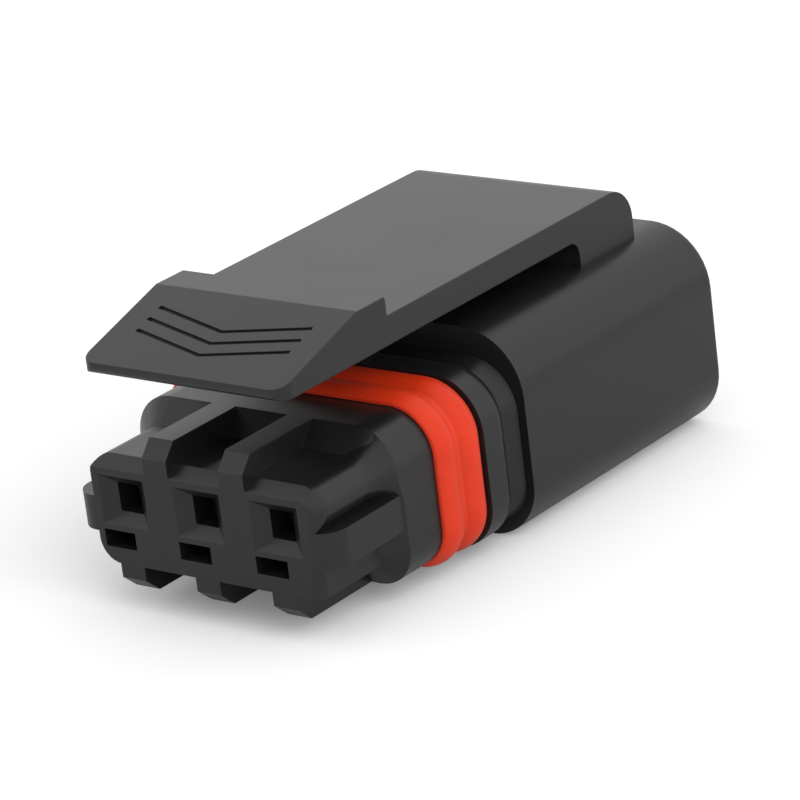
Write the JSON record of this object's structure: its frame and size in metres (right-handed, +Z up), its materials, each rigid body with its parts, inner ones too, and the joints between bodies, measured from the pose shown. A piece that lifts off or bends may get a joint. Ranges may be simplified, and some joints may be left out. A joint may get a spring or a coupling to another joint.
{
  "type": "sealed automotive connector",
  "caption": "Sealed in-line receptacle connector with a double-lip ring seal, crimp terminals, a wire seal and a sprung press latch over the nose.",
  "frame": {"origin": "axis of the middle pin port at the mating face", "axes": "X across the row of cells, +Y from the mating face to the wire end, +Z up towards the latch"},
  "size_m": [0.0094, 0.0166, 0.0078],
  "materials": {
    "housing": "smooth satin black",
    "silicone": "matte orange-red silicone",
    "contact_metal": "tin plated"
  },
  "bodies": {
    "connector": {"inner_housing": "housing", "outer_housing": "housing", "ring_seal": "silicone", "wire_seal": "silicone", "rear_cover": "housing", "terminal_1": "contact_metal", "terminal_2": "contact_metal", "terminal_3": "contact_metal"},
    "latch": {"latch_arm": "housing"}
  },
  "joints": [
    {"name": "latch_press", "type": "hinge", "parent": "connector", "child": "latch", "pos_m": [0, 0.0121, 0.00381], "axis": [1, 0, 0], "range_deg": [0, 7], "stiffness_Nm_per_rad": 0.8}
  ]
}
